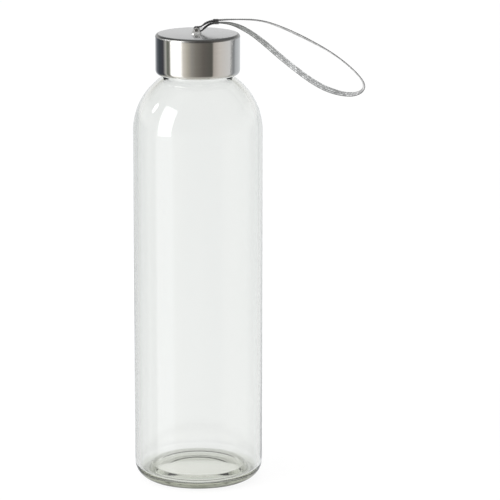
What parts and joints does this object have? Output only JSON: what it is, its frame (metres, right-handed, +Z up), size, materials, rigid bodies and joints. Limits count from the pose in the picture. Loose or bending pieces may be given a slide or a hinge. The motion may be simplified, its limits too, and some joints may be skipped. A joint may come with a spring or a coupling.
{
  "type": "glass water bottle",
  "caption": "Clear glass water bottle with a round shoulder, a steel screw cap with a seal and threaded liner, and a webbing carry loop pinned to an eye on the lid.",
  "frame": {"origin": "centre of the ring that the bottle stands on, at the bottom of the part", "axes": "+Z up along the bottle's axis, +X towards the side that the carry loop hangs to"},
  "size_m": [0.116, 0.065, 0.2362],
  "materials": {
    "clear_glass": "clear polished soda-lime glass",
    "cap_steel": "fine-polished stainless steel",
    "insert_plastic": "natural moulded polypropylene",
    "seal_silicone": "soft translucent silicone",
    "eye_steel": "polished stainless steel",
    "washer_steel": "plain stainless steel",
    "pin_steel": "polished stainless steel",
    "webbing": "narrow woven webbing, grey",
    "stitching": "dark sewing thread"
  },
  "bodies": {
    "bottle": {"glass_bottle": "clear_glass"},
    "seal": {"seal_ring": "seal_silicone"},
    "cap": {"cap_shell": "cap_steel", "cap_insert": "insert_plastic", "eye_bracket": "eye_steel", "eye_washer": "washer_steel", "eye_pin": "pin_steel"},
    "strap": {"strap": "webbing", "strap_stitching": "stitching"}
  },
  "joints": [
    {"name": "cap_lift", "type": "slide", "parent": "bottle", "child": "seal", "axis": [0, 0, 1], "range_m": [0, 0.02521]},
    {"name": "cap_turn", "type": "hinge", "parent": "seal", "child": "cap", "pos_m": [0, 0, 0.229], "axis": [0, 0, 1], "range_deg": [0, 2160]},
    {"name": "strap_swing", "type": "hinge", "parent": "cap", "child": "strap", "pos_m": [-0.0006, 0, 0.2311], "axis": [0, -1, 0], "range_deg": [0, 75]}
  ],
  "couplings": [
    {"joint": "cap_lift", "follows": "cap_turn", "m_per_rad": 0.00066845}
  ]
}
